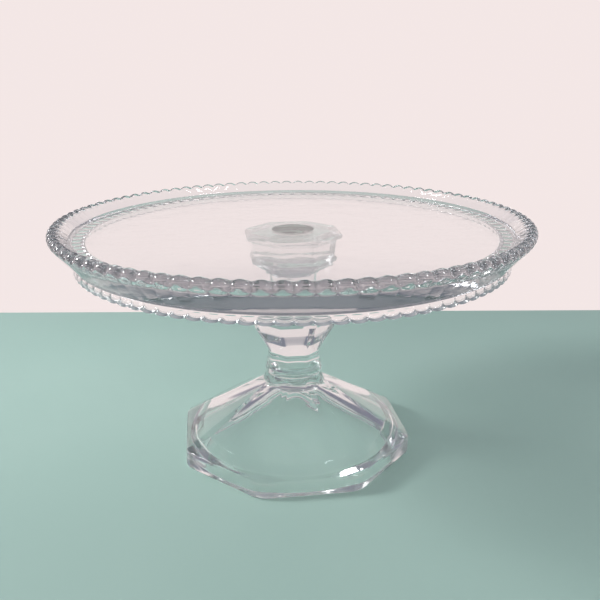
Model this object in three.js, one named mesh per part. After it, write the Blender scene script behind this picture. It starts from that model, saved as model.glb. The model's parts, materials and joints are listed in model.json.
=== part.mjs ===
// A pressed-glass cake stand: a thick round plate with a beaded rim, bonded to a pedestal whose foot has
// eight sides. Millimetres, +Z up. The origin is on the table, under the centre of the plate, and flats of
// the foot face the axes.
import * as THREE from 'three';

const DEGREE = Math.PI / 180;

// Plate. Each section row is [radius, height, rise, reach], from the floor's edge down the outside to the
// underside: the ring's place in the groove between two beads, and how far a bead lifts it and pushes it out.
const RIM_RADIUS = 105;          // over the beads
const RIM_HEIGHT = 111.3;        // over the beads
const BEAD_COUNT = 96;
const BEAD_TURN = 2.31 * DEGREE; // turn of one bead's centre from -Y towards +X
const BEAD_SIZE = 1.4;           // how far a bead stands out past the grooves beside it, and above them
const PLATE_TOP = 106.9;         // the flat floor that the cake stands on
const PLATE_UNDERSIDE = 96.4;
const HEM_RADIUS = 96;           // of the scalloped edge under the wall
const HEM_BOTTOM = 93.4;
const SCALLOP = 1.2;             // depth of the scallops under that edge
const STEPS_PER_BEAD = 3;
const PLATE_SECTION = [
  [96.2, PLATE_TOP, 0, 0],
  [101.1, RIM_HEIGHT - 0.6, 0, 0],
  [RIM_RADIUS - 2.4, RIM_HEIGHT - BEAD_SIZE, BEAD_SIZE, 0],
  [RIM_RADIUS - 1.7, RIM_HEIGHT - 1.7, 1, 1],
  [RIM_RADIUS - BEAD_SIZE, RIM_HEIGHT - 2.4, 0, BEAD_SIZE],
  [RIM_RADIUS - 0.5, RIM_HEIGHT - 3.9, 0, 0],
  [HEM_RADIUS - 0.3, PLATE_UNDERSIDE + 0.5, 0, 0],
  [HEM_RADIUS, PLATE_UNDERSIDE + 0.2, 0, 0],
  [HEM_RADIUS, HEM_BOTTOM + SCALLOP, -SCALLOP, 0],
  [92.2, HEM_BOTTOM + SCALLOP, -SCALLOP, 0],
  [90.6, PLATE_UNDERSIDE, 0, 0],
];

// Pedestal. Each section row is [corner radius, height, squareness, bevel]: squareness 0 is round and 1 has
// eight flat sides, and bevel is how far the corners are cut back.
const SIDES = 8;
const STEPS_PER_SIDE = 4;
const CAPITAL_TOP = 95.4;
const CAPITAL_RADIUS = 22.6;
const NECK_RADIUS = 10.4;
const KNOP_RADIUS = 20.8;
const FOOT_RADIUS = 57;
const FOOT_BEVEL = 1.6;
const FOOT_EDGE = 0.6;           // bevel round the top and bottom of the foot's edge
const HOLLOW_RADIUS = 45;        // of the opening under the foot
const HOLLOW_HEIGHT = 27.4;
const CAPITAL_SECTION = [
  [CAPITAL_RADIUS - 1, CAPITAL_TOP, 1, 0],
  [CAPITAL_RADIUS + 0.5, CAPITAL_TOP - 0.8, 1, 0],
  [CAPITAL_RADIUS, CAPITAL_TOP - 1.8, 1, 0],
  [20.2, CAPITAL_TOP - 3, 0.8, 0],
  [19.7, 85.4, 0.8, 0],
  [20.8, 84.2, 0.8, 0],
  [20.4, 83.2, 0.8, 0],
  [15.6, 79.8, 0.4, 0],
  [NECK_RADIUS, 77, 0, 0],
];
const KNOP_SECTION = [
  [NECK_RADIUS - 0.2, 68.6, 0, 0],
  [12, 66.8, 0.4, 0],
  [KNOP_RADIUS - 0.8, 65.2, 1, 0],
  [KNOP_RADIUS, 63.6, 1, 0],
  [18.9, 59.4, 1, 0],
  [15.2, 53.6, 1, 0],
  [11.8, 46.3, 0.2, 0],
  [12.2, 42, 0, 0],
  [13, 38.6, 0, 0],
];
const FOOT_SECTION = [
  [12.6, 37, 0, 0],
  [14.2, 33.6, 0.4, 0],
  [17.4, 29.4, 1, 0],
  [36, 19.4, 1, 0],
  [FOOT_RADIUS - FOOT_EDGE, 7.4, 1, FOOT_BEVEL],
  [FOOT_RADIUS, 6.6, 1, FOOT_BEVEL],
  [FOOT_RADIUS, FOOT_EDGE, 1, FOOT_BEVEL],
  [FOOT_RADIUS - FOOT_EDGE, 0, 1, FOOT_BEVEL],
];
const HOLLOW_SECTION = [
  [HOLLOW_RADIUS, 0, 0, 0],
  [HOLLOW_RADIUS - 1.4, 3.4, 0, 0],
  [40.6, 7.4, 0, 0],
  [31, 13.2, 0, 0],
  [14.6, 22.4, 0, 0],
  [8, 26, 0, 0],
];

// Bond between the two
const BOND_GAP = 0.3;
const BOND_RADIUS = 9.5;

const GLASS = { color: 0xe9eef0, roughness: 0.03, metalness: 0 };
const ADHESIVE = { color: 0xf1f3ee, roughness: 0.12, metalness: 0 };

// A closed body from rings of points. Every ring has the same number of points. The first ring is the top
// one, and the rings go down the outside and, on a hollow body, back up the inside. A point closes each end.
function closedBody(rings, firstPoint, lastPoint) {
  const count = rings[0].length;
  const positions = [firstPoint, ...rings.flat(), lastPoint].flat();
  const at = (ring, step) => 1 + ring * count + (step % count);
  const last = positions.length / 3 - 1;
  const index = [];
  for (let step = 0; step < count; step++) {
    index.push(0, at(0, step), at(0, step + 1));
    for (let ring = 0; ring + 1 < rings.length; ring++) {
      index.push(at(ring, step), at(ring + 1, step), at(ring + 1, step + 1));
      index.push(at(ring, step), at(ring + 1, step + 1), at(ring, step + 1));
    }
    index.push(at(rings.length - 1, step), last, at(rings.length - 1, step + 1));
  }
  const geometry = new THREE.BufferGeometry();
  geometry.setAttribute('position', new THREE.Float32BufferAttribute(positions, 3));
  geometry.setIndex(index);
  geometry.computeVertexNormals();
  return geometry;
}

// A point at an angle turned from -Y towards +X
function polar(radius, angle, height) {
  return [radius * Math.sin(angle), -radius * Math.cos(angle), height];
}

// 0 in the groove between two beads and 1 on the bead
function beadShare(step) {
  return step % STEPS_PER_BEAD === 0 ? 0 : 1;
}

// One ring of the plate. Beads lift it by rise and push it out by reach.
function plateRing([radius, height, rise, reach]) {
  const count = BEAD_COUNT * STEPS_PER_BEAD;
  const halfBead = Math.PI / BEAD_COUNT;
  return Array.from({ length: count }, (_, step) => {
    const angle = BEAD_TURN - halfBead + (step / count) * 2 * Math.PI;
    const share = beadShare(step);
    return polar(radius + reach * share, angle, height + rise * share);
  });
}

// One ring of the pedestal
function pedestalRing([radius, height, squareness, bevel]) {
  const count = SIDES * STEPS_PER_SIDE;
  const side = (2 * Math.PI) / SIDES;
  return Array.from({ length: count }, (_, step) => {
    const angle = (step / count) * 2 * Math.PI;
    const fromFlat = ((angle + side / 2) % side) - side / 2;
    const flat = (radius * Math.cos(side / 2)) / Math.cos(fromFlat);
    const octagon = Math.min(flat, radius - bevel);
    return polar(radius + squareness * (octagon - radius), angle, height);
  });
}

function bondGeometry() {
  const thickness = PLATE_UNDERSIDE - CAPITAL_TOP - 2 * BOND_GAP;
  const film = new THREE.CylinderGeometry(BOND_RADIUS, BOND_RADIUS, thickness, SIDES * STEPS_PER_SIDE);
  film.rotateX(Math.PI / 2);
  film.translate(0, 0, CAPITAL_TOP + BOND_GAP + thickness / 2);
  return film;
}

function piece(name, geometry, look) {
  const mesh = new THREE.Mesh(geometry, new THREE.MeshStandardMaterial(look));
  mesh.name = name;
  return mesh;
}

const plate = closedBody(PLATE_SECTION.map(plateRing), [0, 0, PLATE_TOP], [0, 0, PLATE_UNDERSIDE]);
const pedestal = closedBody(
  [...CAPITAL_SECTION, ...KNOP_SECTION, ...FOOT_SECTION, ...HOLLOW_SECTION].map(pedestalRing),
  [0, 0, CAPITAL_TOP],
  [0, 0, HOLLOW_HEIGHT],
);

const cakeStand = new THREE.Group();
cakeStand.add(piece('plate', plate, GLASS));
cakeStand.add(piece('bond', bondGeometry(), ADHESIVE));
cakeStand.add(piece('pedestal', pedestal, GLASS));

export default cakeStand;
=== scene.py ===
# A clear pressed-glass cake stand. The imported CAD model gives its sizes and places, and this script makes
# the fine glass.
import json
import math

import bpy
import mathutils
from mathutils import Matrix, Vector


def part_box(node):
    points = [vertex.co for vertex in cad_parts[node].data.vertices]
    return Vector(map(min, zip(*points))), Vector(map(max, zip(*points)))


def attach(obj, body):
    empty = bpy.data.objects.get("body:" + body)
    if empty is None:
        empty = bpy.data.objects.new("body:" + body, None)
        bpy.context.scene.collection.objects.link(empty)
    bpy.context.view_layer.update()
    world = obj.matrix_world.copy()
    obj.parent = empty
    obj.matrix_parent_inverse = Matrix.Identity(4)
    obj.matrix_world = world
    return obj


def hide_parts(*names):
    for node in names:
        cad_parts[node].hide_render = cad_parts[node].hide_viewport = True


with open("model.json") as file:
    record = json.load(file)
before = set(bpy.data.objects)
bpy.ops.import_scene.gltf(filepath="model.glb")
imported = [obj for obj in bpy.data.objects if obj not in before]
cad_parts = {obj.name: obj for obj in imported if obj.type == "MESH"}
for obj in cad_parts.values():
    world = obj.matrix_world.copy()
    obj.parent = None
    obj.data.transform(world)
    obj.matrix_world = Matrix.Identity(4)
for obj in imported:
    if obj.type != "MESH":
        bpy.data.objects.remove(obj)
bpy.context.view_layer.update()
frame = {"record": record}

MM = 0.001
TAU = 2 * math.pi

# Places that the CAD model sets, in millimetres
plate_low, plate_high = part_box("plate")
pedestal_low, pedestal_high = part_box("pedestal")
cake_face = next(m for m in frame["record"]["mounts"] if m["name"] == "cake_face")
RIM_RADIUS = plate_high[0] / MM
RIM_TOP = plate_high[2] / MM
HEM_BOTTOM = plate_low[2] / MM
FLOOR_TOP = cake_face["pos_m"][2] / MM
CAPITAL_TOP = pedestal_high[2] / MM
FOOT_FLAT = pedestal_high[0] / MM

# The rim's beads
BEADS = 96
STEPS_PER_BEAD = 12
BEAD_TURN = math.radians(2.31)   # turn of one bead's centre from -Y towards +X
BEAD_RADIUS = 2.4
BEAD_RIDGE = RIM_RADIUS - BEAD_RADIUS
BEAD_LEVEL = RIM_TOP - BEAD_RADIUS
GROOVE_SHARE = 0.22              # radius in the groove between two beads, as a share of a bead's
GROOVE = (-45, 5, 100, 150)      # degrees round a bead where the groove begins, is full, ebbs and ends

# The rest of the plate. The hem is the scalloped edge under its conical wall.
SLOPE = math.radians(38)         # how steeply the rim falls inward to the floor
FILLET = 2.0                     # where this slope meets the floor
UNDERSIDE = 96.4
WALL_FOOT = 95.7                 # radius where the wall ends, above the hem
WALL_LEVEL = UNDERSIDE + 0.5     # height where the wall ends
HEM_RADIUS = 96.0
HEM_INSIDE = 90.6
HEM_WAVE = 1.2                   # how deep the hem is scalloped
HEM_BEVEL = 0.3
HEM_FILLET = 1.5                 # inside the hem
HEM_STEP = 0.25                  # the hem starts this far below the wall's foot
HEM_FULLNESS = 0.97              # 1 makes the scallops half circles
# the wall's slope from the vertical, so that it runs straight into the beads
WALL_OUT, WALL_UP = BEAD_RIDGE - WALL_FOOT, BEAD_LEVEL - WALL_LEVEL
WALL_TILT = math.atan2(WALL_OUT, WALL_UP) + math.asin(BEAD_RADIUS / math.hypot(WALL_OUT, WALL_UP))

# The film of adhesive between the plate and the pedestal
BOND_RADIUS = 9.5
BOND_SIDES = 96
BOND_GAP = 0.02
BOND_EDGE = 0.6
BOND_NECK = 0.25                 # how far the film's edge draws in


def arc(centre, radius, start, end, steps):
    """Points of an arc in the (radius, height) plane."""
    points = []
    for i in range(steps + 1):
        a = start + (end - start) * i / steps
        points.append((centre[0] + radius * math.cos(a), centre[1] + radius * math.sin(a)))
    return points


def line(start, end, steps):
    """Points of a straight line after its start."""
    return [tuple(s + (e - s) * i / steps for s, e in zip(start, end)) for i in range(1, steps + 1)]


def new_piece(name, vertices, faces):
    mesh = bpy.data.meshes.new(name)
    mesh.from_pydata([(x * MM, y * MM, z * MM) for x, y, z in vertices], [], faces)
    mesh.validate()
    mesh.polygons.foreach_set("use_smooth", [True] * len(mesh.polygons))
    piece = bpy.data.objects.new(name, mesh)
    bpy.context.scene.collection.objects.link(piece)
    return piece


def closed_body(name, rings, top, bottom):
    """A closed mesh from rings of points that run down the outside, with a point that closes each end."""
    count = len(rings[0])
    vertices = [top] + [point for ring in rings for point in ring] + [bottom]
    faces = []
    for step in range(count):
        after = (step + 1) % count
        faces.append((0, 1 + step, 1 + after))
        for ring in range(len(rings) - 1):
            here, below = 1 + ring * count, 1 + (ring + 1) * count
            faces.append((here + step, below + step, below + after, here + after))
        last = 1 + (len(rings) - 1) * count
        faces.append((last + step, len(vertices) - 1, last + after))
    return new_piece(name, vertices, faces)


def polar(radius, angle, height):
    return (radius * math.sin(angle), -radius * math.cos(angle), height)


def bead_share(across):
    """Radius of a bead as a share of its largest, where across is 0 on its crest and 1 in the groove."""
    return math.sqrt(1 - (1 - GROOVE_SHARE ** 2) * across ** 2)


def smooth_step(start, end, value):
    rise = min(1, max(0, (value - start) / (end - start)))
    return rise * rise * (3 - 2 * rise)


def rim_radius_at(angle, share):
    """How far the rim's surface is from a bead's centre line, at an angle in degrees above the horizontal."""
    depth = smooth_step(GROOVE[0], GROOVE[1], angle) * (1 - smooth_step(GROOVE[2], GROOVE[3], angle))
    return BEAD_RADIUS * (1 - (1 - share) * depth)


def rim_section(share):
    """The rim from the floor's edge, over the beads, to the top of the wall."""
    inner = math.pi / 2 + SLOPE
    slope_top = (BEAD_RIDGE + BEAD_RADIUS * math.cos(inner), BEAD_LEVEL + BEAD_RADIUS * math.sin(inner))
    slope_foot = slope_top[0] - (slope_top[1] - FLOOR_TOP) / math.tan(SLOPE)
    fillet_start = slope_foot - FILLET * math.tan(SLOPE / 2)
    points = arc((fillet_start, FLOOR_TOP + FILLET), FILLET, -math.pi / 2, SLOPE - math.pi / 2, 5)
    points += line(points[-1], slope_top, 5)[:-1]
    for i in range(31):
        angle = inner - (inner + WALL_TILT) * i / 30
        radius = rim_radius_at(math.degrees(angle), share)
        points.append((BEAD_RIDGE + radius * math.cos(angle), BEAD_LEVEL + radius * math.sin(angle)))
    return points


def hem_section(across):
    """The scalloped hem, from the foot of the wall to the plate's underside."""
    bottom = HEM_BOTTOM + HEM_WAVE * (1 - math.sqrt(1 - (HEM_FULLNESS * across) ** 2))
    top = WALL_LEVEL - 2 * HEM_STEP
    inside = HEM_INSIDE + HEM_FILLET
    points = [(HEM_RADIUS, WALL_LEVEL - HEM_STEP), (HEM_RADIUS, top)]
    points += line(points[-1], (HEM_RADIUS, bottom + HEM_BEVEL), 4)
    points += [(HEM_RADIUS - 0.3 * HEM_BEVEL, bottom + 0.3 * HEM_BEVEL), (HEM_RADIUS - HEM_BEVEL, bottom)]
    points += line(points[-1], (inside, bottom), 3)
    for i in range(1, 8):
        a = math.pi / 2 * i / 7
        radius = HEM_INSIDE + HEM_FILLET * (1 - math.sin(a))
        points.append((radius, bottom + (UNDERSIDE - bottom) * (1 - math.cos(a))))
    return points


def plate_profile(across):
    """The plate's section from the middle of its floor, over the rim, to the middle of its underside."""
    points = [(radius, FLOOR_TOP) for radius in (40, 80, 92)]
    points += rim_section(bead_share(across))
    points += line(points[-1], (WALL_FOOT, WALL_LEVEL), 6)
    points += hem_section(across)
    underside_rings = (HEM_INSIDE - 0.7, 89, 80, 40, 20, BOND_RADIUS, BOND_RADIUS - 1)
    points += [(radius, UNDERSIDE) for radius in underside_rings]
    return points


def make_plate():
    count = BEADS * STEPS_PER_BEAD
    half = STEPS_PER_BEAD / 2
    profiles = [plate_profile(abs(i - half) / half) for i in range(STEPS_PER_BEAD)]
    rings = []
    for level in range(len(profiles[0])):
        ring = []
        for step in range(count):
            angle = BEAD_TURN + (step - half) / count * TAU
            radius, height = profiles[step % STEPS_PER_BEAD][level]
            ring.append(polar(radius, angle, height))
        rings.append(ring)
    return closed_body("plate_glass", rings, (0, 0, FLOOR_TOP), (0, 0, UNDERSIDE))


# The pedestal, down its outside and back up its hollow. Each row has the radius to a flat, the height, how
# eight-sided the section is there, the width of the narrow facet along each corner, and the radius that
# rounds the outline at this point.
OUTSIDE = [
    (20.6, CAPITAL_TOP, 1, 1.6, 0.5),
    (21.5, CAPITAL_TOP - 0.9, 1, 1.6, 0.5),
    (21.1, CAPITAL_TOP - 1.9, 1, 1.6, 0.5),
    (19.0, CAPITAL_TOP - 3.0, 0.9, 1.6, 0.8),
    (18.2, 85.6, 0.9, 1.6, 0.6),
    (19.3, 84.4, 0.9, 1.6, 0.5),
    (19.0, 83.2, 0.9, 1.6, 0.5),
    (14.6, 79.8, 0.5, 1.6, 1.5),
    (10.3, 77.0, 0, 1.6, 1.5),
    (10.1, 68.4, 0, 1.6, 1.5),
    (11.6, 66.4, 0.3, 1.6, 1.0),
    (19.0, 65.4, 1, 1.2, 0.6),
    (19.6, 63.8, 1, 1.2, 0.6),
    (18.2, 59.8, 1, 1.2, 2),
    (14.6, 53.6, 1, 1.4, 4),
    (11.6, 47.2, 0.3, 1.6, 4),
    (12.2, 41.6, 0, 1.6, 1.2),
    (13.0, 39.6, 0, 1.6, 0.5),
    (12.9, 37.4, 0, 1.6, 0.5),
    (12.3, 36.4, 0, 1.6, 0.8),
    (14.2, 31.4, 1, 2.4, 2.5),
    (33.4, 19.2, 1, 3.2, 12),
    (52.2, 7.9, 1, 4.2, 0.8),
    (FOOT_FLAT, 6.6, 1, 4.3, 0.8),
    (FOOT_FLAT, 0.5, 1, 4.3, 0.3),
    (FOOT_FLAT - 0.5, 0, 1, 4.3, 0.3),
]
HOLLOW = [
    (45.2, 0, 0, 4.3, 0.8),
    (44.6, 5.2, 0, 4.3, 2),
    (41.0, 9.0, 0, 4.3, 3),
    (30.5, 14.4, 0, 4.3, 8),
    (14.6, 22.2, 0, 4.3, 3),
    (8.0, 25.8, 0, 4.3, 3),
    (3.0, 26.9, 0, 4.3, 1),
]
HOLLOW_TOP = 27.1
SIDES = 8
SIDE = TAU / SIDES
EDGE_SHARPNESS = 220             # how tightly the edges between flats and facets are rounded
ROUND_SHARE = 0.985              # radius of a round section, as a share of the eight-sided one's
LONGEST_STEP = 3.0               # between points of the outline
ROUND_STEPS = 5                  # parts of a rounded corner of the outline
WIDEST_FACET = 0.6               # a corner's facet takes at most this share of its half side
NEAR_EDGE = (0, 0.5, 0.8, 0.94, 1.0, 1.06, 1.2, 1.5)
ALONG_FLAT = (0.15, 0.4, 0.7, 1.0)
MOST_OF_HALF = 0.48              # a rounded corner takes at most this share of a stretch


def direction(start, end):
    return math.atan2(end[1] - start[1], end[0] - start[0])


def rounded(points):
    """The same outline with each corner replaced by a curve that its own rounding radius sets."""
    made = [points[0][:4]]
    for before, here, after in zip(points, points[1:], points[2:]):
        to_before = math.dist(before[:2], here[:2])
        to_after = math.dist(after[:2], here[:2])
        turn = math.pi - abs(math.remainder(direction(here, before) - direction(here, after), TAU))
        reach = min(here[4] * math.tan(turn / 2), MOST_OF_HALF * to_before, MOST_OF_HALF * to_after)
        start = [h + (b - h) * reach / to_before for h, b in zip(here[:4], before[:4])]
        end = [h + (a - h) * reach / to_after for h, a in zip(here[:4], after[:4])]
        for i in range(ROUND_STEPS + 1):
            t = i / ROUND_STEPS
            curve = [(1 - t) ** 2 * s + 2 * t * (1 - t) * h + t * t * e for s, h, e in zip(start, here, end)]
            made.append(curve)
    made.append(points[-1][:4])
    return made


def sector_angles(radius, facet):
    """Angles from one corner to the next, close together where the section turns."""
    edge = min(math.atan(facet / 2 / radius), SIDE / 2 * WIDEST_FACET)
    half = [share * edge for share in NEAR_EDGE]
    half += [half[-1] + (SIDE / 2 - half[-1]) * share for share in ALONG_FLAT]
    return half + [SIDE - a for a in reversed(half[1:-1])]


def pedestal_ring(flat, height, squareness, facet):
    """One ring: flats and corner facets whose edges are rounded, or a circle, or a mix of the two."""
    corner = flat / math.cos(SIDE / 2) - facet / 2 * math.tan(SIDE / 2)
    circle = corner * ROUND_SHARE
    ring = []
    for side in range(SIDES):
        for a in sector_angles(corner, facet):
            angle = (side + 0.5) * SIDE + a
            pull = 0
            for face in range(2 * SIDES):
                reach = flat if face % 2 == 0 else corner
                facing = math.cos(angle - face * SIDE / 2)
                if facing > 0:
                    pull += (flat * facing / reach) ** EDGE_SHARPNESS
            octagon = flat * pull ** (-1 / EDGE_SHARPNESS)
            ring.append(polar(circle + (octagon - circle) * squareness, angle, height))
    return ring


def dense(points):
    """The same outline with long straight stretches divided."""
    made = [points[0]]
    for a, b in zip(points, points[1:]):
        parts = max(1, math.ceil(math.dist(a[:2], b[:2]) / LONGEST_STEP))
        made += [[p + (q - p) * i / parts for p, q in zip(a, b)] for i in range(1, parts + 1)]
    return made


def make_pedestal():
    outline = dense(rounded(OUTSIDE + HOLLOW))
    centre = [(flat, CAPITAL_TOP, 1, 1.6) for flat in (18.5, 20.2)]
    rings = [pedestal_ring(*point) for point in centre + outline]
    return closed_body("pedestal_glass", rings, (0, 0, CAPITAL_TOP), (0, 0, HOLLOW_TOP))


def make_bond():
    top, bottom = UNDERSIDE - BOND_GAP, CAPITAL_TOP + BOND_GAP
    section = [
        (BOND_RADIUS - BOND_EDGE, top),
        (BOND_RADIUS, top),
        (BOND_RADIUS - BOND_NECK, (top + bottom) / 2),
        (BOND_RADIUS, bottom),
        (BOND_RADIUS - BOND_EDGE, bottom),
    ]
    angles = [i / BOND_SIDES * TAU for i in range(BOND_SIDES)]
    rings = [[polar(radius, angle, height) for angle in angles] for radius, height in section]
    return closed_body("bond_film", rings, (0, 0, top), (0, 0, bottom))


# The materials
GLASS_INDEX = 1.51
WAVE_HEIGHT = 0.0004             # in metres
MOST_HAZE = 0.035                # roughness


def add(tree, kind, **values):
    node = tree.nodes.new(kind)
    for key, value in values.items():
        setattr(node, key, value)
    return node


def set_inputs(node, **values):
    """Sets a node's inputs, whose names are given with _ for each space."""
    for key, value in values.items():
        node.inputs[key.replace("_", " ")].default_value = value


def absorb(tree):
    """The faint grey that a long way through the glass takes on."""
    absorption = add(tree, "ShaderNodeVolumeAbsorption")
    set_inputs(absorption, Color=(0.50, 0.50, 0.54, 1), Density=6)
    tree.links.new(absorption.outputs["Volume"], tree.nodes["Material Output"].inputs["Volume"])


def new_material(name):
    """A new material, with its node tree."""
    material = bpy.data.materials.new(name)
    material.use_nodes = True
    return material, material.node_tree


def noise_over(tree, scale, detail):
    """Soft noise that stays with the object."""
    place = add(tree, "ShaderNodeTexCoord")
    noise = add(tree, "ShaderNodeTexNoise")
    set_inputs(noise, Scale=scale, Detail=detail)
    tree.links.new(place.outputs["Object"], noise.inputs["Vector"])
    return noise


def glass_material(name, colour, wave, scale):
    """Clear pressed glass: nearly smooth, with the faint waves and haze that the mould leaves."""
    material, tree = new_material(name)
    shader = tree.nodes["Principled BSDF"]
    set_inputs(shader, Base_Color=(*colour, 1), Transmission_Weight=1, IOR=GLASS_INDEX)
    noise = noise_over(tree, scale, 2)
    bump = add(tree, "ShaderNodeBump")
    set_inputs(bump, Strength=wave, Distance=WAVE_HEIGHT)
    tree.links.new(noise.outputs["Fac"], bump.inputs["Height"])
    tree.links.new(bump.outputs["Normal"], shader.inputs["Normal"])
    haze = add(tree, "ShaderNodeMapRange")
    set_inputs(haze, To_Min=0, To_Max=MOST_HAZE)
    tree.links.new(noise.outputs["Fac"], haze.inputs["Value"])
    tree.links.new(haze.outputs["Result"], shader.inputs["Roughness"])
    absorb(tree)
    return material


def contact_material(name):
    """The bonded face: the adhesive has the glass's own index, so light crosses it unbent."""
    material, tree = new_material(name)
    tree.nodes.remove(tree.nodes["Principled BSDF"])
    clear = add(tree, "ShaderNodeBsdfTransparent")
    set_inputs(clear, Color=(0.985, 0.985, 0.975, 1))
    tree.links.new(clear.outputs["BSDF"], tree.nodes["Material Output"].inputs["Surface"])
    absorb(tree)
    return material


def mark_contact(piece, height):
    """Gives the bonded material to the faces of a piece that lie at that height, inside the bond."""
    for face in piece.data.polygons:
        centre = face.center
        flat = all(abs(piece.data.vertices[v].co.z - height * MM) < 1e-6 for v in face.vertices)
        if flat and math.hypot(centre.x, centre.y) < BOND_RADIUS * MM:
            face.material_index = 1


glass = glass_material("pressed_glass", (0.985, 0.99, 0.99), 0.12, 60)
film = glass_material("clear_adhesive", (0.98, 0.98, 0.96), 0.3, 400)
contact = contact_material("bonded_face")

plate = make_plate()
pedestal = make_pedestal()
bond = make_bond()
for piece in (plate, pedestal):
    piece.data.materials.append(glass)
    piece.data.materials.append(contact)
mark_contact(plate, UNDERSIDE)
mark_contact(pedestal, CAPITAL_TOP)
bond.data.materials.append(film)
bond.data.materials.append(contact)
mark_contact(bond, UNDERSIDE - BOND_GAP)
mark_contact(bond, CAPITAL_TOP + BOND_GAP)
PIECES = (
    (plate, "plate", "pressed_glass"),
    (pedestal, "pedestal", "pressed_glass"),
    (bond, "bond", "clear_adhesive"),
)
for piece, node, slot in PIECES:
    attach(piece, "root")
    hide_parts(node)


# The stage: a plain pale table top in a pale room whose upper part is dimmer
def table_material():
    material, tree = new_material("pale_table")
    shader = tree.nodes["Principled BSDF"]
    set_inputs(shader, Roughness=0.7)
    noise = noise_over(tree, 9, 2)
    mix = add(tree, "ShaderNodeMix", data_type="RGBA")
    tree.links.new(noise.outputs["Fac"], mix.inputs["Factor"])
    set_inputs(mix, A=(0.36, 0.53, 0.47, 1), B=(0.41, 0.57, 0.51, 1))
    tree.links.new(mix.outputs["Result"], shader.inputs["Base Color"])
    return material


# The table's half width, back edge, front edge, thickness and the gap under the foot, in metres
TABLE_SIDE, TABLE_BACK, TABLE_FRONT, TABLE_THICK, TABLE_GAP = 0.6, 0.19, -0.6, 0.02, 0.0004
# The view's turn round the object, its angle below the horizontal and its lean, in degrees
YAW, DOWN, ROLL = -7.74, 18.18, -0.24
turn = mathutils.Matrix.Rotation(math.radians(YAW), 4, "Z")
corners = [
    (TABLE_SIDE, TABLE_FRONT),
    (TABLE_SIDE, TABLE_BACK),
    (-TABLE_SIDE, TABLE_BACK),
    (-TABLE_SIDE, TABLE_FRONT),
]
points = [turn @ mathutils.Vector((x, y, z)) for z in (-TABLE_THICK, -TABLE_GAP) for x, y in corners]
sides = [(i, (i + 1) % 4, 4 + (i + 1) % 4, 4 + i) for i in range(4)]
mesh = bpy.data.meshes.new("table")
mesh.from_pydata(points, [], [(3, 2, 1, 0), (4, 5, 6, 7)] + sides)
table = bpy.data.objects.new("table", mesh)
bpy.context.scene.collection.objects.link(table)
mesh.materials.append(table_material())

LIT_POINT = mathutils.Vector((0, 0, 0.08))


def soft_light(name, location, size, power, shadow):
    """A square light in metres and watts, aimed at the object."""
    data = bpy.data.lights.new(name, "AREA")
    data.shape = "SQUARE"
    data.size = size
    data.energy = power
    data.use_shadow = shadow
    light = bpy.data.objects.new(name, data)
    light.location = location
    light.rotation_mode = "QUATERNION"
    light.rotation_quaternion = (LIT_POINT - light.location).to_track_quat("-Z", "Y")
    bpy.context.scene.collection.objects.link(light)


soft_light("window", (-0.85, 0.15, 0.55), 0.25, 6.5, True)
soft_light("fill", (0.7, -0.6, 0.9), 0.3, 4.2, False)

world = bpy.data.worlds.new("studio")
bpy.context.scene.world = world
world.use_nodes = True
sky = world.node_tree
backdrop = sky.nodes["Background"]
place = add(sky, "ShaderNodeTexCoord")
split = add(sky, "ShaderNodeSeparateXYZ")
sky.links.new(place.outputs["Generated"], split.inputs["Vector"])
shade = add(sky, "ShaderNodeValToRGB")
sky.links.new(split.outputs["Z"], shade.inputs["Fac"])
# The room's colours: the sine of the height above the horizon, and the colour there
BANDS = [
    (0.24, (0.90, 0.80, 0.79)),
    (0.34, (0.22, 0.22, 0.28)),
    (0.75, (0.24, 0.26, 0.29)),
    (1.00, (0.40, 0.41, 0.44)),
]
ramp = shade.color_ramp
ramp.interpolation = "EASE"
while len(ramp.elements) < len(BANDS):
    ramp.elements.new(0.5)
for stop, (level, colour) in zip(ramp.elements, BANDS):
    stop.position = level
    stop.color = (*colour, 1)
sky.links.new(shade.outputs["Color"], backdrop.inputs["Color"])
backdrop.inputs["Strength"].default_value = 1.0

# The camera
EYE = mathutils.Vector((0.0031, -0.3076, 0.1721))
camera_data = bpy.data.cameras.new("camera")
camera_data.sensor_width = 36
camera_data.lens = 41.64
camera_data.clip_start = 0.01
camera = bpy.data.objects.new("camera", camera_data)
camera.rotation_mode = "XYZ"
camera.location = turn @ EYE
tip = mathutils.Matrix.Rotation(math.radians(90 - DOWN), 4, "X")
lean = mathutils.Matrix.Rotation(math.radians(ROLL), 4, "Z")
camera.rotation_euler = (turn @ tip @ lean).to_euler("XYZ")
bpy.context.scene.collection.objects.link(camera)
bpy.context.scene.camera = camera
bpy.context.scene.view_settings.view_transform = "Standard"
# light takes a long way through the beads
cycles = bpy.context.scene.cycles
cycles.max_bounces = 64
cycles.transmission_bounces = 64
cycles.glossy_bounces = 24
cycles.transparent_max_bounces = 64
